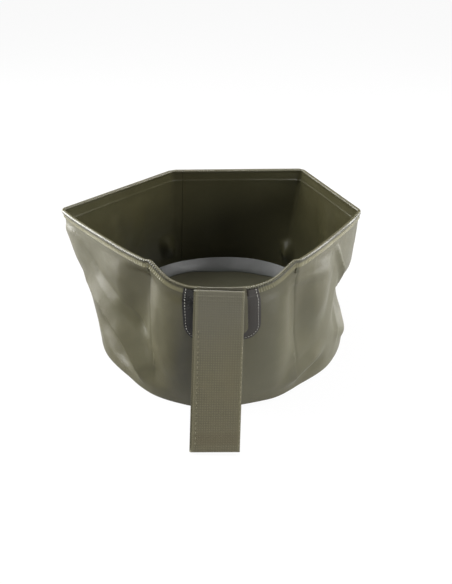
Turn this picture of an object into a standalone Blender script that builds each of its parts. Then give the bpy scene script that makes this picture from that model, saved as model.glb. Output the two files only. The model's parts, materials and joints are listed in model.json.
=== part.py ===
"""A folding bucket of coated cloth.

A tube of cloth stands on a round cloth base. Its top edge is turned over six rods, one for each side
of the mouth, and the cloth left free between the rod ends lets the rim fold. A strap handle hangs from
a patch at the front and another at the rear. Lengths are metres, +Z is up, and the origin is the
middle of the base's underside.
"""

import bpy
import bmesh
from math import acos, atan2, cos, pi, radians, sin, sqrt
from mathutils import Matrix, Vector

# Cloth and clearances
CLOTH = 0.0006
SEAT_GAP = 0.0003
SKIN_GAP = 0.0004

# Base, and where its outline leaves a circle: a turn in degrees, a push outward and a half width in degrees
BASE_RADIUS = 0.154
BASE_FLANGE_WIDTH = 0.026
BASE_BAND = 0.004
BASE_BENDS = {
    "left flat": (222, -0.0026, 20),
    "left bend": (239, 0.0030, 16),
    "front": (262, 0.0070, 28),
    "right bend": (293, 0.0022, 16),
    "right flat": (308, -0.0030, 18),
}

# Mouth: the middle of each corner in plan, and how far it stands above the rim's height
RIM_HEIGHT = 0.162
RIM_CORNERS = {
    "left": (-0.188, 0.003, 0.0),
    "front_left": (-0.077, -0.116, 0.0),
    "front_right": (0.080, -0.126, 0.006),
    "right": (0.164, -0.001, 0.0),
    "back_right": (0.108, 0.135, -0.006),
    "back_left": (-0.065, 0.117, 0.0),
}
SIDES = ("front_left", "front", "front_right", "back_right", "back", "back_left")
CORNER_GAP = 0.009

# How far a rod bows outward and downward at its middle, and how square-shouldered the bow is
SIDE_BOW = {"front": (0.021, 0.020), "front_left": (0.003, 0.0), "front_right": (0.003, 0.0)}
BOW_POWER = 3.3
STEPS_PER_SIDE = 8

# Rods and the hem that holds them
ROD_RADIUS = 0.0013
ROD_FACETS = 8
HEM_ARC_STEP = radians(45)
HEM_PINCH_DROP = 0.0028
HEM_OUTER_LEG = 0.007
HEM_INNER_LEG = 0.014

# The rows of the wall between the hem and the upright band at the base, as shares of that height
WALL_ROWS = (0.13, 0.26, 0.39, 0.52, 0.65, 0.77, 0.89, 1.0)

# Patches, straps and handle loops, and the side of the mouth that each handle hangs from
HANDLE_SIDES = {"front": "front", "rear": "back"}
PATCH_WIDTH = 0.075
PATCH_DEPTH = 0.060
PATCH_CORNER = 0.016
PATCH_THICKNESS = 0.0008
EDGE_STEP = 0.0015
STRAP_WIDTH = 0.050
STRAP_THICKNESS = 0.0016
TAB_DEPTH = 0.052
TAB_CORNER = 0.008
TAB_RISE_FROM = 0.016
TAB_RISE_TO = 0.0045
STRAP_FOLD_BELOW_ROD = {"front": 0.0, "rear": 0.006}
TAB_TOP_ABOVE_FOLD = 0.0015
LOOP_LENGTH = 0.166
LOOP_GAP_TOP = 0.0010
LOOP_GAP_END = 0.0022
LOOP_LEAST_LEAN = radians(12)
LOOP_END_FACETS = 6

# Main folds of the wall: the half widths on the left and on the right as seen from outside, then the path
# from the top down, as (turn about the base in degrees, height, push outward). All but the turns are
# counted in fold units
FOLD_UNIT = 0.001
WALL_FOLDS = {
    "left bulge": (34, 34, (182, 154, 0), (186, 130, 3), (189, 110, 4), (193, 80, 0)),
    "left ridge": (16, 38, (190, 104, 0), (207, 75, 6), (222, 52, 7), (232, 23, 6), (238, 3, 3)),
    "left hollow": (30, 18, (194, 72, 0), (206, 46, -7), (218, 23, -5), (229, 3, 0)),
    "left valley": (20, 20, (193, 140, 0), (206, 113, -4), (220, 97, -5), (231, 79, -4), (238, 64, 0)),
    "left shoulder": (44, 40, (216, 154, 0), (217, 126, 4), (221, 106, 3), (226, 84, 0)),
    "corner valley": (34, 24, (239, 166, -5), (237, 115, -9), (235.5, 80, -7), (240, 32, -4), (244, 10, 0)),
    "corner column": (30, 34, (254, 150, 2), (254, 110, 3), (253, 60, 4), (253, 8, 1)),
    "patch hollow": (24, 30, (262, 100, 0), (262, 50, -3), (262, 5, 0)),
    "right column": (34, 26, (291, 155, 0), (292, 110, 4), (292, 60, 5), (290, 8, 1)),
    "right valley": (22, 34, (303, 160, -2), (304, 120, -5), (305, 80, -6), (306, 40, 0)),
    "right shoulder": (34, 22, (327, 156, 0), (324, 128, 4), (320, 105, 5), (314, 65, 0)),
    "right ridge": (16, 14, (334, 160, 0), (338, 132, 3), (341, 112, 5), (341, 94, 4), (338, 80, 0)),
    "right waist": (52, 36, (332, 92, 0), (342, 78, -11), (351, 64, -15), (362, 62, -14), (386, 86, 0)),
    "right foot": (18, 18, (325, 40, 0), (314, 28, 5), (304, 19, 5), (297, 3, 2)),
    "back right hollow": (24, 24, (30, 150, 0), (24, 90, -5), (28, 30, 0)),
    "back right knuckle": (18, 18, (56, 60, 0), (54, 36, -9), (52, 12, 0)),
    "rear column": (30, 30, (92, 120, 0), (92, 60, 3), (92, 10, 0)),
    "back left knuckle": (18, 18, (123, 68, 0), (121, 44, -8), (119, 18, 0)),
    "back left hollow": (24, 24, (146, 150, 0), (143, 100, -4), (150, 40, 0)),
    "left rear ridge": (18, 30, (176, 130, 0), (164, 80, 5), (152, 20, 0)),
    "right rear ridge": (30, 18, (10, 120, 0), (22, 65, 5), (34, 15, 0)),
}
FOLD_FADE = 0.020

# Colours
OLIVE_CLOTH = (0.145, 0.137, 0.090, 1.0)
OLIVE_WEBBING = (0.160, 0.150, 0.100, 1.0)
CHARCOAL = (0.035, 0.033, 0.032, 1.0)
ROD_GREY = (0.300, 0.300, 0.290, 1.0)


def clear_scene():
    for item in list(bpy.data.objects):
        bpy.data.objects.remove(item, do_unlink=True)


def material(name, colour, roughness, metallic=0.0):
    made = bpy.data.materials.new(name)
    made.use_nodes = True
    shader = made.node_tree.nodes["Principled BSDF"]
    shader.inputs["Base Color"].default_value = colour
    shader.inputs["Roughness"].default_value = roughness
    shader.inputs["Metallic"].default_value = metallic
    return made


def add_object(name, verts, faces, finish, parent=None, smooth_under=radians(40)):
    """Make one closed piece, with its faces turned outward."""
    mesh = bpy.data.meshes.new(name)
    work = bmesh.new()
    made = [work.verts.new(point) for point in verts]
    for face in faces:
        work.faces.new([made[index] for index in face])
    bmesh.ops.recalc_face_normals(work, faces=work.faces)
    work.to_mesh(mesh)
    work.free()
    mesh.shade_smooth()
    mesh.set_sharp_from_angle(angle=smooth_under)
    mesh.materials.append(finish)
    piece = bpy.data.objects.new(name, mesh)
    bpy.context.scene.collection.objects.link(piece)
    if parent is not None:
        piece.parent = parent
    return piece


def ease(share):
    share = min(max(share, 0.0), 1.0)
    return share * share * (3 - 2 * share)


def side_ends(side):
    """The two corners of a side, going round the mouth from left to front to right to back."""
    names = list(RIM_CORNERS)
    first = SIDES.index(side)
    ends = []
    for name in (names[first], names[(first + 1) % len(names)]):
        x, y, rise = RIM_CORNERS[name]
        ends.append(Vector((x, y, RIM_HEIGHT + rise)))
    return ends


def side_outward(side):
    start, end = side_ends(side)
    along = end - start
    return Vector((along.y, -along.x, 0)).normalized()


def rod_line(side):
    """Points along the middle of one rod, from end to end."""
    start, end = side_ends(side)
    along = (end - start).normalized()
    start = start + along * CORNER_GAP / 2
    end = end - along * CORNER_GAP / 2
    out, down = SIDE_BOW.get(side, (0.0, 0.0))
    line = []
    for step in range(STEPS_PER_SIDE + 1):
        share = step / STEPS_PER_SIDE
        bow = 1 - abs(2 * share - 1) ** BOW_POWER
        point = start.lerp(end, share) + side_outward(side) * out * bow
        line.append(point - Vector((0, 0, down * bow)))
    return line


class Station:
    """One cross-section of the bucket: a rim point, the base point below it, and the frame there."""

    def __init__(self, side, rim):
        self.side = side
        self.rim = rim


def make_stations():
    stations = []
    for side in SIDES:
        for point in rod_line(side):
            stations.append(Station(side, point))
    count = len(stations)
    run = CORNER_GAP / 2
    for index, station in enumerate(stations):
        station.run = run
        run += (stations[(index + 1) % count].rim - station.rim).length
    girth = run - CORNER_GAP / 2
    for index, station in enumerate(stations):
        station.turn = pi + 2 * pi * station.run / girth
        radial = Vector((cos(station.turn), sin(station.turn), 0))
        station.radial = radial
        station.base = radial * base_radius(station.turn)
        before = (station.rim - stations[index - 1].rim).normalized()
        after = (stations[(index + 1) % count].rim - station.rim).normalized()
        set_frame(station, before, after)
    for station in stations:
        station.line = wall_line(station)
    return stations


def set_frame(station, before, after):
    """Point the station's up vector along the wall and its out vector away from it, both mitred."""
    along = (before + after).normalized()
    rise = station.rim - station.base
    up = (rise - along * rise.dot(along)).normalized()
    out = along.cross(up)
    bend = (after - before) / 2
    station.up = up
    station.out = out
    station.up_mitre = up / sqrt(1 - bend.dot(up) ** 2)
    station.out_mitre = out / sqrt(1 - bend.dot(out) ** 2)


def angle_between(turn, other):
    """The way from another turn to this one, between half a turn back and half a turn on."""
    return (turn - other + pi) % (2 * pi) - pi


def base_radius(turn):
    """The radius of the base's outline, a circle with a few flats and bends."""
    radius = BASE_RADIUS
    for middle, push, half_width in BASE_BENDS.values():
        share = min(abs(angle_between(turn, radians(middle))) / radians(half_width), 1.0)
        radius += push * (1 - share ** 2) ** 2
    return radius


def fold_push(turn, height, top):
    """How far the folds push the wall outward at one place."""
    push = 0.0
    for left, right, *path in WALL_FOLDS.values():
        nearest = []
        for (turn_a, height_a, push_a), (turn_b, height_b, push_b) in zip(path, path[1:]):
            span = Vector((radians(turn_b - turn_a) * BASE_RADIUS, (height_b - height_a) * FOLD_UNIT))
            away = angle_between(turn, radians(turn_a)) * BASE_RADIUS
            here = Vector((away, height - height_a * FOLD_UNIT))
            share = min(max(here.dot(span) / span.length_squared, 0.0), 1.0)
            width = right if span.cross(here) > 0 else left
            depth = push_a + (push_b - push_a) * ease(share)
            nearest.append(((here - span * share).length, width, depth))
        gap, width, depth = min(nearest)
        share = min(gap / (width * FOLD_UNIT), 1.0)
        push += depth * FOLD_UNIT * (1 - share ** 2) ** 2
    return push * ease((height - BASE_BAND) / FOLD_FADE) * ease((top - height) / FOLD_FADE)


def wall_line(station):
    """Points down the middle of the wall at a station, from its top edge inside the hem to the floor."""
    top = station.rim - station.up_mitre * (HEM_PINCH_DROP + SEAT_GAP + CLOTH / 2)
    hem_end = station.rim - station.up_mitre * (HEM_INNER_LEG + SEAT_GAP)
    band_top = station.base + Vector((0, 0, BASE_BAND))
    line = [top, hem_end]
    for share in WALL_ROWS:
        point = hem_end.lerp(band_top, share)
        push = fold_push(station.turn, point.z, hem_end.z)
        line.append(point + station.radial * push)
    return line + [station.base]


def sweep(name, profile, frames, closed, finish, parent):
    """Carry a closed profile of (out, up) points along frames of (point, out, up)."""
    verts = []
    for point, out, up in frames:
        for across, above in profile:
            verts.append(point + out * across + up * above)
    around = len(profile)
    stops = len(frames)
    faces = []
    for stop in range(stops if closed else stops - 1):
        here = stop * around
        there = ((stop + 1) % stops) * around
        for spot in range(around):
            after = (spot + 1) % around
            faces.append((here + spot, here + after, there + after, there + spot))
    if not closed:
        faces.append(tuple(range(around)))
        faces.append(tuple((stops - 1) * around + spot for spot in range(around)))
    return add_object(name, verts, faces, finish, parent)


def hem_profile():
    """The turned-over edge: an upside-down U, round over the rod and pinched on the wall below it."""
    facet = cos(HEM_ARC_STEP / 2)
    inner = (ROD_RADIUS + SEAT_GAP) / facet
    outer = inner + CLOTH / facet
    leg_in = CLOTH / 2 + SEAT_GAP
    leg_out = leg_in + CLOTH
    reach = pi / 2 + HEM_ARC_STEP * 3
    turns = [reach - HEM_ARC_STEP * step for step in range(7)]
    arc_out = [(outer * cos(turn), outer * sin(turn)) for turn in turns]
    arc_in = [(inner * cos(turn), inner * sin(turn)) for turn in reversed(turns)]
    profile = [(-leg_out, -HEM_INNER_LEG), (-leg_out, -HEM_PINCH_DROP - CLOTH)]
    profile += arc_out
    profile += [(leg_out, -HEM_PINCH_DROP - CLOTH), (leg_out, -HEM_OUTER_LEG)]
    profile += [(leg_in, -HEM_OUTER_LEG), (leg_in, -HEM_PINCH_DROP)]
    profile += arc_in
    profile += [(-leg_in, -HEM_PINCH_DROP), (-leg_in, -HEM_INNER_LEG)]
    return profile


def hem_outer_radius():
    facet = cos(HEM_ARC_STEP / 2)
    return (ROD_RADIUS + SEAT_GAP + CLOTH) / facet


def make_hem(stations, finish, parent):
    frames = [(spot.rim, spot.out_mitre, spot.up_mitre) for spot in stations]
    sweep("rim_hem", hem_profile(), frames, True, finish, parent)


def make_rods(finish, parent):
    profile = []
    for spot in range(ROD_FACETS):
        turn = 2 * pi * (spot + 0.5) / ROD_FACETS
        profile.append((ROD_RADIUS * cos(turn), ROD_RADIUS * sin(turn)))
    for side in SIDES:
        line = rod_line(side)
        frames = []
        for index, point in enumerate(line):
            before = line[max(index - 1, 0)]
            after = line[min(index + 1, len(line) - 1)]
            along = (after - before).normalized()
            out = along.cross(Vector((0, 0, 1))).normalized()
            frames.append((point, out, out.cross(along)))
        sweep("rim_rod_" + side, profile, frames, False, finish, parent)


def make_wall(stations, finish, parent):
    verts = []
    rows = len(stations[0].line)
    for station in stations:
        for row, point in enumerate(station.line):
            across = station.radial if row >= rows - 2 else station.out
            verts.append(point + across * CLOTH / 2)
            verts.append(point - across * CLOTH / 2)
    faces = []
    column = rows * 2
    for index in range(len(stations)):
        here = index * column
        there = (index + 1) % len(stations) * column
        for row in range(rows - 1):
            low = row * 2
            faces.append((here + low, there + low, there + low + 2, here + low + 2))
            faces.append((here + low + 1, here + low + 3, there + low + 3, there + low + 1))
        last = column - 2
        faces.append((here, here + 1, there + 1, there))
        faces.append((here + last, there + last, there + last + 1, here + last + 1))
    add_object("wall", verts, faces, finish, parent)


def make_base(stations, cloth, parent):
    """The base disc, and the wall's lower margin that is turned in and welded down on it."""
    inset = CLOTH / 2 + SEAT_GAP
    edge = [station.base - station.radial * inset for station in stations]
    count = len(stations)
    verts = []
    for height in (0.0, CLOTH):
        verts += [point + Vector((0, 0, height)) for point in edge]
    faces = [tuple(range(count)), tuple(range(count, 2 * count))]
    for spot in range(count):
        after = (spot + 1) % count
        faces.append((spot, after, count + after, count + spot))
    add_object("base_disc", verts, faces, cloth, parent)

    low = CLOTH + SEAT_GAP
    profile = [(-BASE_FLANGE_WIDTH, low), (0, low), (0, low + CLOTH), (-BASE_FLANGE_WIDTH, low + CLOTH)]
    up = Vector((0, 0, 1))
    frames = [(point, station.radial, up) for point, station in zip(edge, stations)]
    sweep("base_flange", profile, frames, True, cloth, parent)


def side_middle_run(stations, side):
    own = [station.run for station in stations if station.side == side]
    return (own[0] + own[-1]) / 2


def on_wall(stations, run, depth, offset):
    """The place at a run round the rim and a depth below the rod, moved out by an offset."""
    index = 0
    while index < len(stations) - 2 and stations[index + 1].run < run:
        index += 1
    pair = stations[index], stations[index + 1]
    share = (run - pair[0].run) / (pair[1].run - pair[0].run)
    points = []
    for station in pair:
        line = station.line
        if depth <= HEM_PINCH_DROP + SEAT_GAP + CLOTH / 2:
            place = station.rim - station.up * depth
        else:
            left = depth - (station.rim - line[0]).length
            row = 0
            while row < len(line) - 2 and left > (line[row + 1] - line[row]).length:
                left -= (line[row + 1] - line[row]).length
                row += 1
            place = line[row] + (line[row + 1] - line[row]).normalized() * left
        points.append(place + station.out * offset)
    return points[0].lerp(points[1], share)


def row_depths(stations, run, top, bottom):
    """The depths between two others at which the wall has its rows, at the station nearest to a run."""
    station = min(stations, key=lambda spot: abs(spot.run - run))
    depth = (station.rim - station.line[0]).length
    depths = []
    for above, below in zip(station.line, station.line[1:]):
        depth += (below - above).length
        if top + EDGE_STEP < depth < bottom - EDGE_STEP:
            depths.append(depth)
    return depths


def patch_half_width(width, bottom, corner, depth):
    """Half the width at a depth, on a flap whose lower corners are rounded."""
    into = depth - (bottom - corner)
    if into <= 0:
        return width / 2
    return width / 2 - corner + sqrt(max(corner * corner - into * into, 0.0))


def corner_rows(bottom, corner):
    """Depths down a rounded corner, at even steps of its arc."""
    return [bottom - corner + corner * sin(radians(turn)) for turn in (0, 30, 55, 75, 90)]


def flap_columns(stations, middle, half):
    """Runs across a flap from its middle: its two edges, and the stations between them."""
    inner = [station.run - middle for station in stations if abs(station.run - middle) < half - EDGE_STEP]
    return [-half] + inner + [half]


def make_flap(name, stations, middle, width, corner, depths, offset_at, thickness, finish, parent):
    """A sheet that lies on the wall: its columns follow the stations, its rows go down the depths."""
    columns = flap_columns(stations, middle, width / 2)
    last = len(columns) - 1
    verts = []
    for depth in depths:
        half = patch_half_width(width, depths[-1], corner, depth)
        for column, across in enumerate(columns):
            limit = half - EDGE_STEP * min(column, last - column)
            run = middle + min(max(across, -limit), limit)
            for face in (0.5, -0.5):
                verts.append(on_wall(stations, run, depth, offset_at(depth) + face * thickness))
    row_size = len(columns) * 2
    faces = []
    for row in range(len(depths) - 1):
        for column in range(last):
            here = row * row_size + column * 2
            below = here + row_size
            faces.append((here, here + 2, below + 2, below))
            faces.append((here + 1, below + 1, below + 3, here + 3))
        for here in (row * row_size, (row + 1) * row_size - 2):
            below = here + row_size
            faces.append((here, below, below + 1, here + 1))
    for here in (0, (len(depths) - 1) * row_size):
        for column in range(last):
            spot = here + column * 2
            faces.append((spot, spot + 1, spot + 3, spot + 2))
    return add_object(name, verts, faces, finish, parent)


def patch_offset(depth):
    return CLOTH / 2 + SKIN_GAP + PATCH_THICKNESS / 2


def tab_offset(depth):
    """The tab lies on its patch, and its top stands out to pass in front of the hem."""
    low = patch_offset(depth) + PATCH_THICKNESS / 2 + SKIN_GAP + STRAP_THICKNESS / 2
    high = hem_outer_radius() + SKIN_GAP + STRAP_THICKNESS / 2
    return low + (high - low) * ease((TAB_RISE_FROM - depth) / (TAB_RISE_FROM - TAB_RISE_TO))


def make_patch_and_tab(place, side, stations, finishes, parent):
    middle = side_middle_run(stations, side)
    top = HEM_OUTER_LEG + SEAT_GAP
    rounded = corner_rows(PATCH_DEPTH, PATCH_CORNER)
    depths = sorted([top] + row_depths(stations, middle, top, PATCH_DEPTH) + rounded)
    make_flap(place + "_patch", stations, middle, PATCH_WIDTH, PATCH_CORNER, depths, patch_offset,
              PATCH_THICKNESS, finishes["patch"], parent)
    top = STRAP_FOLD_BELOW_ROD[place] - TAB_TOP_ABOVE_FOLD
    rise = TAB_RISE_FROM - TAB_RISE_TO
    rows = [0.0, TAB_RISE_TO] + [TAB_RISE_TO + rise * share for share in (0.3, 0.6, 1.0)]
    depths = [top] + [depth for depth in rows if depth > top + EDGE_STEP]
    depths += row_depths(stations, middle, TAB_RISE_FROM, TAB_DEPTH) + corner_rows(TAB_DEPTH, TAB_CORNER)
    depths.sort()
    make_flap(place + "_tab", stations, middle, STRAP_WIDTH, TAB_CORNER, depths, tab_offset,
              STRAP_THICKNESS, finishes["strap"], parent)


def loop_half_top():
    return STRAP_THICKNESS + LOOP_GAP_TOP / 2


def loop_half_end():
    return STRAP_THICKNESS + LOOP_GAP_END / 2


def loop_axis_point(place, side, stations):
    """Where a handle loop turns: just in front of the tab, at the height of the strap's fold."""
    middle = side_middle_run(stations, side)
    depth = STRAP_FOLD_BELOW_ROD[place]
    face = on_wall(stations, middle, depth, tab_offset(depth) + STRAP_THICKNESS / 2)
    return face + side_outward(side) * (SKIN_GAP + loop_half_top())


def loop_lean(stations):
    """The lean from hanging straight down at which the front loop's end meets the floor."""
    height = loop_axis_point("front", HANDLE_SIDES["front"], stations).z
    reach = LOOP_LENGTH - loop_half_end()
    drop = height - loop_half_end() - SEAT_GAP
    if drop > reach * cos(LOOP_LEAST_LEAN):
        return LOOP_LEAST_LEAN
    return acos(drop / reach)


def loop_outline(radius_top, radius_end, reach):
    """A long closed outline with a half circle at each end, in (along, across) from the axis."""
    outline = []
    for step in range(LOOP_END_FACETS + 1):
        turn = pi / 2 + pi * step / LOOP_END_FACETS
        outline.append((radius_top * cos(turn), radius_top * sin(turn)))
    for step in range(LOOP_END_FACETS + 1):
        turn = -pi / 2 + pi * step / LOOP_END_FACETS
        outline.append((reach + radius_end * cos(turn), radius_end * sin(turn)))
    return outline


def make_loop(place, side, stations, finish):
    """A strap doubled into a flat loop, hung on its turning axis and leaning away from the wall."""
    reach = LOOP_LENGTH - loop_half_end()
    outer = loop_outline(loop_half_top(), loop_half_end(), reach)
    inner = loop_outline(LOOP_GAP_TOP / 2, LOOP_GAP_END / 2, reach)
    count = len(outer)
    verts = []
    for x in (-STRAP_WIDTH / 2, STRAP_WIDTH / 2):
        for outline in (outer, inner):
            verts += [Vector((x, -across, -along)) for along, across in outline]
    faces = []
    for spot in range(count):
        after = (spot + 1) % count
        for shift in (0, count):
            faces.append((spot + shift, after + shift, 2 * count + after + shift, 2 * count + spot + shift))
        for end in (0, 2 * count):
            faces.append((end + spot, end + after, end + count + after, end + count + spot))
    outward = side_outward(side)
    hinge = bpy.data.objects.new(place + "_hinge", None)
    hinge.location = loop_axis_point(place, side, stations)
    facing = Matrix.Rotation(atan2(outward.x, -outward.y), 4, "Z")
    hinge.rotation_euler = (facing @ Matrix.Rotation(-loop_lean(stations), 4, "X")).to_euler()
    bpy.context.scene.collection.objects.link(hinge)
    add_object(place + "_handle_loop", verts, faces, finish, hinge)


def build():
    clear_scene()
    cloth = material("coated cloth", OLIVE_CLOTH, 0.42)
    base_cloth = material("base cloth", OLIVE_CLOTH, 0.40)
    hem_cloth = material("hem cloth", OLIVE_CLOTH, 0.38)
    rods = material("rods", ROD_GREY, 0.45)
    finishes = {
        "patch": material("patch", CHARCOAL, 0.32),
        "strap": material("webbing", OLIVE_WEBBING, 0.70),
    }
    stations = make_stations()
    bucket = bpy.data.objects.new("bucket", None)
    bpy.context.scene.collection.objects.link(bucket)
    make_base(stations, base_cloth, bucket)
    make_wall(stations, cloth, bucket)
    make_hem(stations, hem_cloth, bucket)
    make_rods(rods, bucket)
    for place, side in HANDLE_SIDES.items():
        make_patch_and_tab(place, side, stations, finishes, bucket)
        make_loop(place, side, stations, finishes["strap"])


build()
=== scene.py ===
"""A folding bucket of coated cloth: its folded wall, the hem over its rods, its base, patches and straps.

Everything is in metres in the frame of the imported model: +Z up, -Y towards the front handle, and the
origin in the middle of the base's underside.
"""
import json
from functools import cache
from math import cos, pi, radians, sin, tau

import bmesh
import bpy
import numpy as np
from bpy.props import FloatProperty, FloatVectorProperty, PointerProperty
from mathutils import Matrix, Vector, noise


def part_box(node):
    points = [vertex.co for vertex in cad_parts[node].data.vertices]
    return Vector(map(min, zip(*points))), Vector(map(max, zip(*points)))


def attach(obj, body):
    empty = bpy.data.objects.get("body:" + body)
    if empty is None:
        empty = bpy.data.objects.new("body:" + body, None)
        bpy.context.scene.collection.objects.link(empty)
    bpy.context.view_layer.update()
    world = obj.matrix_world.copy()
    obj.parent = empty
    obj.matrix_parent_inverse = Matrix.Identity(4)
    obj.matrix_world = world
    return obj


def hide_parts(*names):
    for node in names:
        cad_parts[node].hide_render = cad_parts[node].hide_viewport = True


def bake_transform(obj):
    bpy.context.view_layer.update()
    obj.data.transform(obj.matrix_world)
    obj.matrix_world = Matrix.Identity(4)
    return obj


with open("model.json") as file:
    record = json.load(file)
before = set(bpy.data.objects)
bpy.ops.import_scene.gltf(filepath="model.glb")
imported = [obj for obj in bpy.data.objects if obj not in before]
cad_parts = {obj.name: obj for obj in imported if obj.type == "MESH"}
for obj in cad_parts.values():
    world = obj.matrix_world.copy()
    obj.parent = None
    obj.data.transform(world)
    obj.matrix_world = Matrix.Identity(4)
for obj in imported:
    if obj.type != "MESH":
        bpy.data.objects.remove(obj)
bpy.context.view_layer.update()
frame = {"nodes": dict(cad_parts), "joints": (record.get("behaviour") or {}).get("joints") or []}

bl_info = {
    "name": "Folding bucket",
    "version": (1, 0, 0),
    "blender": (4, 5, 0),
    "location": "View3D > Sidebar > Bucket",
    "description": "Builds a folding bucket of coated cloth, piece by piece",
    "category": "Add Mesh",
}

# The sides of the mouth, counter-clockwise from the left corner as seen from above
SIDES = ("front_left", "front", "front_right", "back_right", "back", "back_left")
HANDLE_SIDES = {"front": "front", "rear": "back"}

MM = 0.001

# Clearances
SKIN_GAP = 0.0004
FLOOR_GAP = 0.0002
FOOT_GAP = 0.0003
STITCH_GAP = 0.0001

# How finely the cloth is stepped
ROD_STEPS = 66
CORNER_STEPS = 14
WALL_ROWS = 84
HEM_INNER_ROWS = 12
HEM_ROUND_ROWS = 17
HEM_OUTER_ROWS = 7
BASE_STEPS = 97
MARGIN_ROWS = 15

# How far the hem goes round a rod, and its roundness in the middle of a corner, where it has no rod
HEM_WRAP = radians(256)
HEM_SLACK = 0.45

# How many rows of the hem take the cloth of the inside, whose darker colour is painted shade
HEM_INSIDE_ROWS = HEM_INNER_ROWS + 3

# How far in from a cut edge the hem lifts off the wall, how much of that lift it has outside, and the
# pitch of its puckers
HEM_LIP_DEPTH = 0.0026
OUTER_LIP_SHARE = 0.6
HEM_PUCKER = 0.0026

# The wall's seam is at a turn of 113 degrees, and the runs round the mouth start at 180
SEAM_SHARE = (113 + 180) / 360

# The margin's usual width at the back, where it is uneven, and its width at the front
MARGIN_WIDTH = 0.021
MARGIN_FRONT_WIDTH = 0.012

# The tabs are sewn on this far to the right of the middle of their rods
TAB_SHIFT = 0.001

# The back layer of a loop lies this far to the left of its front layer, and the loop's end this much askew
BACK_LAYER_SHIFT = 0.0022
LOOP_ASKEW = 0.0026

# The low rolls across a loop, just under its fold: how far down, how wide and how high each is
STRAP_ROLLS = ((0.0048, 0.0011, 0.0004), (0.0085, 0.0016, 0.0002))


def length_property(name, text, default):
    return FloatProperty(name=name, description=text, default=default, unit="LENGTH", precision=5)


def colour_property(name, text, default):
    return FloatVectorProperty(
        name=name, description=text, default=default, subtype="COLOR", size=3, min=0, max=1
    )


class BucketCloth(bpy.types.PropertyGroup):
    thickness: length_property("Thickness", "How thick the coated cloth is", 0.0006)
    foot: length_property("Foot", "How high the wall stands straight up from the floor", 0.003)
    scrim: length_property("Scrim pitch", "The pitch of the cloth's woven core", 0.0011)
    outside: colour_property("Outside", "The coating outside", (0.062, 0.057, 0.029))
    # painted shade: the inside is coloured darker than the outside, standing in for the shade inside the
    # bucket
    inside: colour_property("Inside", "The coating inside", (0.046, 0.043, 0.020))
    # painted sheen: the base is coloured greyer and lighter than the wall, standing in for the overhead
    # lamp's sheen
    base: colour_property("Base", "The base's coating", (0.078, 0.075, 0.050))
    # painted sheen: the margin is coloured a pale neutral grey, standing in for the overhead lamp's sheen on
    # its cove
    margin: colour_property("Margin", "The greyer margin welded on the base", (0.085, 0.089, 0.084))


class BucketHem(bpy.types.PropertyGroup):
    tunnel: length_property("Tunnel", "The radius of the hem round a rod", 0.0019)
    pinch: length_property("Pinch", "How far below the rod the hem closes on the wall", 0.0032)
    outer_leg: length_property("Outer leg", "How far down the hem reaches outside", 0.0070)
    inner_leg: length_property("Inner leg", "How far down the hem reaches inside", 0.0140)
    corner: length_property("Corner", "The half thickness of the hem where it has no rod", 0.0012)
    lip: length_property("Lip", "How far the hem's cut edge stands off the wall", 0.0005)


class BucketPatch(bpy.types.PropertyGroup):
    width: length_property("Width", "How wide a patch is", 0.075)
    depth: length_property("Depth", "How far below the rod a patch reaches", 0.060)
    rounding: length_property("Rounding", "The radius of its lower corners", 0.016)
    thickness: length_property("Thickness", "How thick the patch is", 0.0008)
    colour: colour_property("Colour", "The charcoal coating", (0.009, 0.008, 0.007))
    thread: colour_property("Thread", "The pale thread round the patch", (0.420, 0.410, 0.370))


class BucketStrap(bpy.types.PropertyGroup):
    width: length_property("Width", "The webbing's width", 0.050)
    thickness: length_property("Thickness", "The webbing's thickness", 0.0016)
    tab_depth: length_property("Tab depth", "How far below the rod a tab reaches", 0.052)
    tab_rounding: length_property("Tab rounding", "The radius of a tab's lower corners", 0.008)
    yarn: length_property("Yarn pitch", "The pitch of the webbing's weave", 0.0025)
    stitch_pitch: length_property("Stitch pitch", "From one stitch to the next", 0.0050)
    stitch_length: length_property("Stitch length", "How long a stitch shows", 0.0031)
    seam_inset: length_property("Seam inset", "From the strap's edge to its seam", 0.0042)
    colour: colour_property("Colour", "The webbing's yarn", (0.078, 0.072, 0.040))
    thread: colour_property("Thread", "The sewing thread", (0.135, 0.127, 0.075))


class BucketStage(bpy.types.PropertyGroup):
    eye: FloatVectorProperty(
        name="Eye", description="Where the camera stands", default=(0.006, -0.7413, 0.5339),
        subtype="TRANSLATION", unit="LENGTH"
    )
    target: FloatVectorProperty(
        name="Target", description="What the camera looks at", default=(0.006, -0.005, 0.052),
        subtype="TRANSLATION", unit="LENGTH"
    )
    lens: FloatProperty(name="Lens", description="The focal length in mm", default=43.15, unit="CAMERA")
    floor: colour_property("Floor", "The pale floor", (0.62, 0.62, 0.62))
    ambient: FloatProperty(name="Ambient", description="The strength of the even light", default=0.02)


def unit(vectors):
    return vectors / np.linalg.norm(vectors, axis=-1, keepdims=True)


def dot(a, b):
    return (a * b).sum(axis=-1, keepdims=True)


def ease(share):
    share = np.clip(share, 0.0, 1.0)
    return share * share * (3 - 2 * share)


def node_points(node):
    """The separate corners of a CAD node's mesh."""
    mesh = frame["nodes"][node].data
    places = np.empty(len(mesh.vertices) * 3, np.float32)
    mesh.vertices.foreach_get("co", places)
    return np.unique(np.round(places.reshape(-1, 3).astype(float), 6), axis=0)


def rod_line(side):
    """Points along the middle of a CAD rod, one for each ring of its corners."""
    ring_spacing = 0.006
    points = node_points("rim_rod_" + side)
    direction = np.linalg.svd(points - points.mean(0), full_matrices=False)[2][0]
    middle = points.mean(0)
    if np.cross(middle[:2], direction[:2]) < 0:
        direction = -direction
    points = points[np.argsort(points @ direction)]
    breaks = np.where(np.diff(points @ direction) > ring_spacing)[0] + 1
    return np.array([ring.mean(0) for ring in np.split(points, breaks)])


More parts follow.
